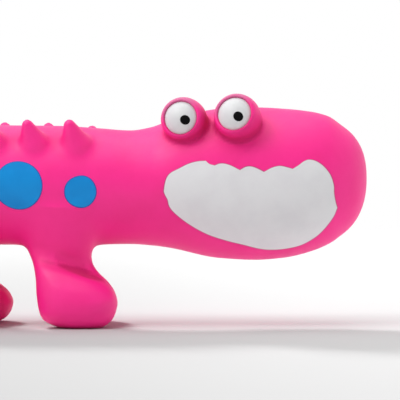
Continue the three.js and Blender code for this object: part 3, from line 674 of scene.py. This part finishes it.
# A coat's edge as insets and heights on the skin, its underside in the skin, and the insets over
# which its rim is darkened, partly as painted shade
COAT_RISE, COAT_UNDER = 0.2, -0.35
COAT_EDGE = [(0.0, -0.05), (0.05, 0.07), (0.13, 0.14), (0.28, 0.18), (0.45, 0.195)]
COAT_EDGE += [(0.65, COAT_RISE)]
RIM_LINE = (0.22, 0.5)

# A coat's inner rings keep a share of a calmer outline, smoothed over a thirtieth of its length
INNER_SHARE, CALM_PASSES, CALM_PART, RING_PITCH = 0.8, 3, 30, 3
FLANK_REACH, HALVINGS = 36.0, 20

MOUTH_REAR, MOUTH_TOP, MOUTH_LENGTH, MOUTH_HEIGHT = 42.0, 64.0, 66.2, 34.8

# Strokes of the mouth's outline, as shares of its length and height from its rear top corner
STROKE_SPACING = 0.012
MOUTH_STROKES = [
    [(0.24, 0.011), (0.26, 0.046), (0.29, 0.062)],
    [(0.29, 0.062), (0.315, 0.043), (0.345, 0.04), (0.385, 0.062), (0.434, 0.11)],
    [(0.434, 0.11), (0.468, 0.075), (0.497, 0.069), (0.53, 0.086), (0.577, 0.13)],
    [(0.577, 0.13), (0.62, 0.085), (0.665, 0.066), (0.705, 0.08), (0.742, 0.102)],
    [(0.742, 0.102), (0.775, 0.06), (0.81, 0.012), (0.838, 0), (0.874, 0.016), (0.918, 0.073)]
    + [(0.957, 0.166), (0.977, 0.276), (0.98, 0.37), (0.99, 0.47), (1, 0.53)],
    [(1, 0.53), (0.978, 0.631), (0.93, 0.758), (0.874, 0.86), (0.795, 0.945), (0.706, 0.987)]
    + [(0.62, 1), (0.55, 0.987), (0.462, 0.945), (0.357, 0.894), (0.252, 0.825), (0.155, 0.725)]
    + [(0.077, 0.614), (0.033, 0.522), (0.02, 0.436)],
    [(0.02, 0.436), (0.002, 0.369), (0, 0.327), (0.012, 0.217), (0.037, 0.149), (0.086, 0.098)]
    + [(0.138, 0.048), (0.19, 0.019), (0.24, 0.011)],
]

# Spots: place along X, height, radius, how far behind it a second lobe lies, and that one's radius
SPOTS = {
    "shoulder": (10.8, 51.7, 6.2, 0, 6.2),
    "flank": (-12.6, 54.1, 9.2, 11, 6.9),
    "rump": (-43, 57, 6.2, 0, 6.2),
    "tail_root": (-65, 51.5, 5.2, 0, 5.2),
    "tail": (-84, 50.5, 3.9, 0, 3.9),
}
SPOT_SIDES, WIDE_WOBBLE, FINE_WOBBLE = 96, 0.012, 0.006


def through(stroke, spacing):
    """Points on a smooth line through a stroke's, about evenly spaced, without the last one."""
    stroke = np.array(stroke)
    ends = (2 * stroke[0] - stroke[1], 2 * stroke[-1] - stroke[-2])
    stroke = np.concatenate([[ends[0]], stroke, [ends[1]]])
    line = []
    for a, b, c, d in zip(stroke, stroke[1:], stroke[2:], stroke[3:]):
        count = max(1, round(np.linalg.norm(c - b) / spacing))
        for t in np.arange(count) / count:
            bend = (2 * a - 5 * b + 4 * c - d) * t**2 + (3 * b - a - 3 * c + d) * t**3
            line.append(b + ((c - a) * t + bend) / 2)
    return line


def skin_places(x, z, side):
    """Where lines across the toy meet one side of its skin."""
    inner, outer = np.full(len(x), 0.0), np.full(len(x), side * FLANK_REACH)
    for _ in range(HALVINGS):
        y = (inner + outer) / 2
        outside = skin_field(np.stack([x, y, z], axis=1)) > 0
        inner, outer = np.where(outside, inner, y), np.where(outside, y, outer)
    return np.stack([x, (inner + outer) / 2, z], axis=1)


def coat(name, outline, side, finish, node):
    """A closed thin coat on the skin inside an outline, which is seen from the side."""
    middle = (outline.min(0) + outline.max(0)) / 2
    calm = outline
    window = max(1, len(outline) // CALM_PART)
    for _ in range(CALM_PASSES):
        calm = sum(np.roll(calm, k, axis=0) for k in range(-window, window + 1)) / (2 * window + 1)
    calm = middle + (calm - middle) * INNER_SHARE
    inward = calm - outline
    inward /= np.linalg.norm(inward, axis=1)[:, None]
    steps = 1 + round(np.linalg.norm(calm - middle, axis=1).max() / RING_PITCH)
    plates = [middle + (calm - middle) * s for s in np.arange(1, steps + 1) / steps]
    rings = [(flat, COAT_RISE, 0.0) for flat in plates]
    for inset, rise in reversed(COAT_EDGE):
        rings.append((outline + inward * inset, rise, float(np.interp(inset, RIM_LINE, (1, 0)))))
    rings += [(flat, COAT_UNDER, 0.0) for flat in (outline, *plates[::-2])]
    flat = np.concatenate([flat for flat, _, _ in rings] + [[middle, middle]])
    rises = [np.full(len(outline), rise) for _, rise, _ in rings]
    rise = np.concatenate(rises + [[COAT_RISE, COAT_UNDER]])
    place = skin_places(*flat.T, side)
    out = slope(skin_field, place)
    place += out / np.linalg.norm(out, axis=1)[:, None] * rise[:, None]
    sets = np.split(place[:-2], len(rings))
    points, faces = lofted(sets, place[-2], place[-1])
    if side > 0:
        faces = [face[::-1] for face in faces]
    made = piece(name, points, faces, "toy", node)
    # The rim share sets where the darker rim colour, partly painted shade, is laid
    rim = made.data.attributes.new("rim", "FLOAT", "POINT")
    rim.data.foreach_set("value", [r for _, _, r in rings for _ in outline] + [0.0, 0.0])
    made.data.materials.append(finish)
    return made


def coat_finish(name, light, deep, edge, satin, shine):
    """Brushed latex in two close tones, with a darker rim: partly the pink showing through, partly
    painted shade along its border.
    """
    made = material(name)
    body = made.mixed(made.step(made.noise(*COAT_CLOUDS), *COAT_CLOUD_SPAN), light, deep)
    grain = made.noise(*COAT_GRAIN)
    colour = made.mixed(made.step(grain, *COAT_GRAIN_SPAN) * COAT_GRAIN_SHARE, body, deep)
    waves = made.bump(made.noise(*COAT_WAVES), COAT_WAVE_RELIEF)
    return made.done(
        {
            "Base Color": made.mixed(made.measured("rim"), colour, edge),
            "Roughness": satin + made.noise(*COAT_SMEARS) * COAT_DULL,
            "Specular IOR Level": shine,
            "Normal": made.bump(grain, COAT_GRAIN_RELIEF, waves),
        }
    )


mouth_white = coat_finish("mouth_latex", *MOUTH_COLOURS, MOUTH_SATIN, MOUTH_SHINE)
spot_blue = coat_finish("spot_latex", *SPOT_COLOURS, SPOT_SATIN, SPOT_SHINE)

strokes = [point for stroke in MOUTH_STROKES for point in through(stroke, STROKE_SPACING)]
outline = np.array(strokes) * (MOUTH_LENGTH, -MOUTH_HEIGHT) + (MOUTH_REAR, MOUTH_TOP)
coat("mouth_white", outline, -1, mouth_white, "mouth_coat")

for name, (x, z, radius, back, lobe) in SPOTS.items():
    turns = np.arange(SPOT_SIDES) * 2 * math.pi / SPOT_SIDES
    spoke = np.stack([np.cos(turns), -np.sin(turns)], axis=1)
    hub = back / 2
    reach = []
    for shift, size in ((hub, radius), (-hub, lobe)):
        along = shift * spoke[:, 0]
        reach.append(along + np.sqrt(along**2 - shift**2 + size**2))
    wobble = 1 + WIDE_WOBBLE * np.sin(3 * turns + x) + FINE_WOBBLE * np.sin(5 * turns + z)
    outline = (x - hub, z) + spoke * (np.maximum(*reach) * wobble)[:, None]
    for word, side in (("right", -1), ("left", 1)):
        coat(f"{word}_{name}_paint", outline, side, spot_blue, f"{word}_{name}_spot")

# The squeaker
# A blow-moulded bladder of milky plastic with a barrel pressed into its neck. A thin amber reed,
# clamped between a seat and a wedge in the barrel, rattles when air is squeezed past it.

MILKY, MILKY_THICK = (0.80, 0.83, 0.85), (0.70, 0.74, 0.77)
AMBER, AMBER_DEEP = (0.70, 0.46, 0.07), (0.62, 0.38, 0.05)
MILKY_FLOW, MILKY_SPAN, MILKY_RIPPLES = (3.5, 3.0), (0.3, 0.7), (0.9, 2.0)
MILKY_SATIN, MILKY_DULL, MILKY_RELIEF = 0.3, 0.15, 0.02
AMBER_STREAKS, AMBER_SATIN, AMBER_DULL, AMBER_RELIEF = (0.8, 4.0), 0.25, 0.15, 0.01

milky = material("milky_plastic")
flow = milky.noise(*MILKY_FLOW)
milky_plastic = milky.done(
    {
        "Base Color": milky.mixed(milky.step(flow, *MILKY_SPAN), MILKY, MILKY_THICK),
        "Roughness": MILKY_SATIN + flow * MILKY_DULL,
        "Normal": milky.bump(milky.noise(*MILKY_RIPPLES), MILKY_RELIEF),
    }
)
amber = material("amber_film")
streaks = amber.noise(*AMBER_STREAKS)
amber_film = amber.done(
    {
        "Base Color": amber.mixed(streaks, AMBER, AMBER_DEEP),
        "Roughness": AMBER_SATIN + streaks * AMBER_DULL,
        "Normal": amber.bump(streaks, AMBER_RELIEF),
    }
)
for name in ("squeaker_bladder", "squeaker_barrel", "squeaker_reed_seat", "squeaker_wedge"):
    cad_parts[name].data.materials[0] = milky_plastic
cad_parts["squeaker_reed"].data.materials[0] = amber_film

# The fibre fill
# Loose wads of white polyester fibre, pushed into the head, the body, the tail and each leg before
# the belly is plugged. The wad in the body closes round the squeaker.

FIBRE_WHITE, FIBRE_SHADE = (0.88, 0.875, 0.85), (0.74, 0.73, 0.70)
STRANDS, STRAND_RELIEF, TUFTS, TUFT_SPAN, TUFT_RELIEF = (0.7, 5.0), 0.4, (5.0, 3.0), (0.3, 0.7), 1.2
FIBRE_MATT, STRAND_DULL, FIBRE_SHINE = 0.9, 0.1, 0.2
BROAD_LUMP, FINE_LUMP = 0.25, 0.12
FILL_GAP, SKIN_WALL = 2.75, 1.8
CUTS = {"tail": (-140.0, -54.5), "torso": (-53.5, 35.5), "head": (36.5, 140.0)}
CUT_ROUND, LEG_WAD_ROUND = 2.5, 1.5
POCKET_WIDE, POCKET_DEEP, POCKET_HEIGHT, POCKET_NECK = 16.2, 10.2, 56.8, 6.6

# The boxes of cells that the wads are drawn in, with some room round each
WAD_CELL, WAD_PASSES, WAD_ROOM = 2.2, 3, 2.0
BODY_BOX_LOW, BODY_BOX_HIGH = (-26.0, 22.0), (28.0, 88.0)
LEG_BOX_REAR, LEG_BOX_FRONT, LEG_BOX_IN, LEG_BOX_OUT = 26, 20, 1.0, 32.0
LEG_BOX_LOW, LEG_BOX_TOP = -1.0, 48.0

fibre = material("polyester_fibre")
strands = fibre.noise(*STRANDS)
tufts = fibre.noise(*TUFTS)
fibre_fill = fibre.done(
    {
        "Base Color": fibre.mixed(fibre.step(tufts, *TUFT_SPAN), FIBRE_WHITE, FIBRE_SHADE),
        "Roughness": FIBRE_MATT + strands * STRAND_DULL,
        "Specular IOR Level": FIBRE_SHINE,
        "Normal": fibre.bump(strands, STRAND_RELIEF, fibre.bump(tufts, TUFT_RELIEF)),
    }
)


def lumps(p):
    """Soft lumps of fibre, a few tenths of a millimetre high."""
    x, y, z = p.T
    broad = np.sin(x / 2.3 + np.sin(y / 2.9)) * np.cos(z / 2.6 + y / 3.7)
    return BROAD_LUMP * broad - FINE_LUMP * np.sin(y / 1.7 + x / 4.1)


def squeaker_pocket(p):
    """Below zero in the room that the bladder takes up, and in the shaft from it to the plug."""
    out, up = np.hypot(p[:, 0] - PLUG_X, p[:, 1]), p[:, 2] - POCKET_HEIGHT
    bladder = (np.hypot(out / POCKET_WIDE, up / POCKET_DEEP) - 1) * POCKET_DEEP
    return np.minimum(bladder, np.maximum(out - POCKET_NECK, up))


def wad(name, field, low, high, node):
    """A wad of fibre that fills the inside of a field."""
    low, high = np.array(low, float), np.array(high, float)
    made = piece(name, *net(field, low, high, WAD_CELL, WAD_PASSES), "toy", node)
    made.data.materials.append(fibre_fill)


for section, (start, end) in CUTS.items():

    def section_field(p):
        core = body_field(p) + FILL_GAP + lumps(p)
        core = -joined(-core, p[:, 0] - start, CUT_ROUND)
        core = -joined(-core, end - p[:, 0], CUT_ROUND)
        return np.maximum(core, -squeaker_pocket(p)) if section == "torso" else core

    box_low = (max(start, TAIL_TIP) - WAD_ROOM, *BODY_BOX_LOW)
    box_high = (min(end, SNOUT_TIP) + WAD_ROOM, *BODY_BOX_HIGH)
    wad(section + "_wad", section_field, box_low, box_high, section + "_fill")

for end, leg in zip(("front_right", "front_left", "rear_right", "rear_left"), LEGS):
    x, side, size, high = leg

    def leg_core(p):
        core = leg_field(p, x, side, size, high) + FILL_GAP + lumps(p)
        return -joined(-core, body_field(p) + SKIN_WALL, LEG_WAD_ROUND)

    inner, outer = sorted((side * LEG_BOX_IN, side * LEG_BOX_OUT))
    box_low = (x - LEG_BOX_REAR, inner, LEG_BOX_LOW)
    box_high = (x + LEG_BOX_FRONT, outer, LEG_BOX_TOP)
    wad(end + "_leg_wad", leg_core, box_low, box_high, end + "_leg_fill")

# The belly plug
# A button of the same pink latex, pushed through a hole in the belly after the fibre. Its flange
# holds it inside, its face is flush outside, and the hole in its middle lets the squeaker breathe.

# The plug's outline: radii, and heights out of the belly. The belly's curve bends its face.
PLUG_OUTLINE = [(1.2, -3.0), (1.2, -0.15), (1.42, 0.0), (1.8, 0.05), (3.05, 0.05), (3.36, -0.05)]
PLUG_OUTLINE += [(3.5, -0.25), (3.52, -0.5), (3.52, -1.9), (5.2, -2.2), (5.2, -3.0)]
PLUG_SIDES, BELLY_RADIUS = 48, 21.2

belly = float(curve(BODY_RINGS, 1, PLUG_X) - curve(BODY_RINGS, 2, PLUG_X))
plug_middle, down = np.array((PLUG_X, 0.0, belly)), np.array((0.0, 0.0, -1.0))
rings = rings_about(PLUG_OUTLINE, plug_middle, down, PLUG_SIDES)
for ring in rings:
    ring[:, 2] += ring[:, 1] ** 2 / (2 * BELLY_RADIUS)
plug = piece("belly_plug_button", *lofted(rings, loop=True), "toy", "belly_plug")
plug.data.materials.append(pink_latex)

# The table top and the light
# A pale matt floor, painted darker toward the tail as shade, runs out into a bright white room. A
# large soft lamp hangs over the toy, a smaller one stands high at its rear right, and two weak ones
# fill the face's side and the snout.

FLOOR_HALF, FLOOR_FADES, FLOOR_GONE = 6.0, 0.35, 1.1

# The floor's colour toward the tail, darker there as painted shade, and toward the snout, and the
# one that light bounces off
FLOOR_SHADED_REAR, FLOOR_LIT_FRONT = (0.42, 0.42, 0.42), (0.535, 0.535, 0.535)
FLOOR_BOUNCE = (0.65, 0.65, 0.65)
TINT_FROM, TINT_TO = -0.06, 0.16

# How bright the room is for the light it gives: all round, overhead and on the side of the camera
HORIZON_LEVEL, TOP_LEVEL, FRONT_LEVEL = 1.4, 0.6, 0.3
TOP_SPAN, FRONT_SPAN = (0.0, 0.7), (0.1, 0.95)
TO_FRONT, TO_TOP, WHITE = (0.0, -1.0, 0.0), (0.0, 0.0, 1.0), (1.0, 1.0, 1.0)

ground = material("pale_floor")
apart = ground.node("ShaderNodeVectorMath", {"operation": "LENGTH"}, {0: ground.place}, "Value")
across = ground.node("ShaderNodeSeparateXYZ", None, {0: ground.place})
# Painted shade: the floor darkens toward the tail
tint = ground.mixed(ground.step(across, TINT_FROM, TINT_TO), FLOOR_SHADED_REAR, FLOOR_LIT_FRONT)
tint = ground.mixed(ground.in_view(), FLOOR_BOUNCE, tint)
matt = {"Base Color": tint, "Roughness": 1.0, "Specular IOR Level": 0.0}
paper = ground.node("ShaderNodeBsdfPrincipled", None, matt)
clear = ground.node("ShaderNodeBsdfTransparent", None, {"Color": WHITE})
fading = {0: ground.step(apart, FLOOR_FADES, FLOOR_GONE), 1: paper, 2: clear}
faded = ground.node("ShaderNodeMixShader", None, fading)
ground.node("ShaderNodeOutputMaterial", None, {"Surface": faded})

floor_mesh = bpy.data.meshes.new("floor")
corners = [(x * FLOOR_HALF, y * FLOOR_HALF, 0.0) for x, y in ((-1, -1), (1, -1), (1, 1), (-1, 1))]
floor_mesh.from_pydata(corners, [], [(0, 1, 2, 3)])
floor = bpy.data.objects.new("floor", floor_mesh)
floor.data.materials.append(ground.owner)
bpy.context.scene.collection.objects.link(floor)
floor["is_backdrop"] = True

world = bpy.data.worlds.new("bright_room")
room = Finish(world)
heading = room.node("ShaderNodeTexCoord", output="Generated")
dot = {"operation": "DOT_PRODUCT"}
front = room.node("ShaderNodeVectorMath", dot, {0: heading, 1: TO_FRONT}, "Value")
above = room.node("ShaderNodeVectorMath", dot, {0: heading, 1: TO_TOP}, "Value")
level = HORIZON_LEVEL - room.step(above, *TOP_SPAN) * (HORIZON_LEVEL - TOP_LEVEL)
level = level * (1 - room.step(front, *FRONT_SPAN) * (1 - FRONT_LEVEL))
strength = level + (1 - level) * room.in_view()
light = room.node("ShaderNodeBackground", None, {"Color": WHITE, "Strength": strength})
room.node("ShaderNodeOutputWorld", None, {"Surface": light})
bpy.context.scene.world = world

LAMPS_AIM = Vector((0.03, 0.0, 0.05))


def lamp(name, place, size, power, glints):
    """A square soft lamp that faces the toy, and shows in its gloss only where glints is set."""
    light = bpy.data.lights.new(name, "AREA")
    light.size = size
    light.energy = power
    made = bpy.data.objects.new(name, light)
    made.location = place
    made.rotation_euler = (LAMPS_AIM - Vector(place)).to_track_quat("-Z", "Y").to_euler()
    made.visible_glossy = glints
    bpy.context.scene.collection.objects.link(made)
    return made


lamp("overhead_softbox", (-0.2, 0.0, 1.0), 1.1, 7.0, True)
lamp("key_softbox", (-0.6, -0.5, 0.9), 0.45, 4.0, True)
lamp("low_fill", (0.4, -1.2, 0.1), 0.6, 0.5, False)
lamp("side_fill", (1.2, -0.45, 0.06), 0.5, 1.1, False)

# A strong small lamp behind the toy lights the floor alone, so that the shadow falls forward
rear = lamp("rear_softbox", (-0.6, 1.3, 1.0), 0.3, 33.0, False)
rear.light_linking.receiver_collection = bpy.data.collections.new("floor_light")
rear.light_linking.receiver_collection.objects.link(floor)

# The camera
# It stands off the toy's right side, almost level with it, and frames the head and the forelegs.
# The lens is as long as the width that is seen asks for at that distance.

TARGET = Vector((0.0559, 0.0, 0.048))
DISTANCE, RISE_DEGREES, WIDTH_SEEN, SENSOR = 1.1, 1.5, 0.154, 36.0
NEAREST_SEEN, FARTHEST_SEEN = 0.05, 50.0

rise = math.radians(RISE_DEGREES)
back = Vector((0.0, -math.cos(rise), math.sin(rise)))
camera = bpy.data.objects.new("camera", bpy.data.cameras.new("camera"))
camera.data.sensor_width = SENSOR
camera.data.lens = SENSOR * DISTANCE / WIDTH_SEEN
camera.data.clip_start, camera.data.clip_end = NEAREST_SEEN, FARTHEST_SEEN
camera.location = TARGET + back * DISTANCE
camera.rotation_euler = (-back).to_track_quat("-Z", "Y").to_euler()
bpy.context.scene.collection.objects.link(camera)
bpy.context.scene.camera = camera
bpy.context.scene.view_settings.view_transform = "Standard"

low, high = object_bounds()
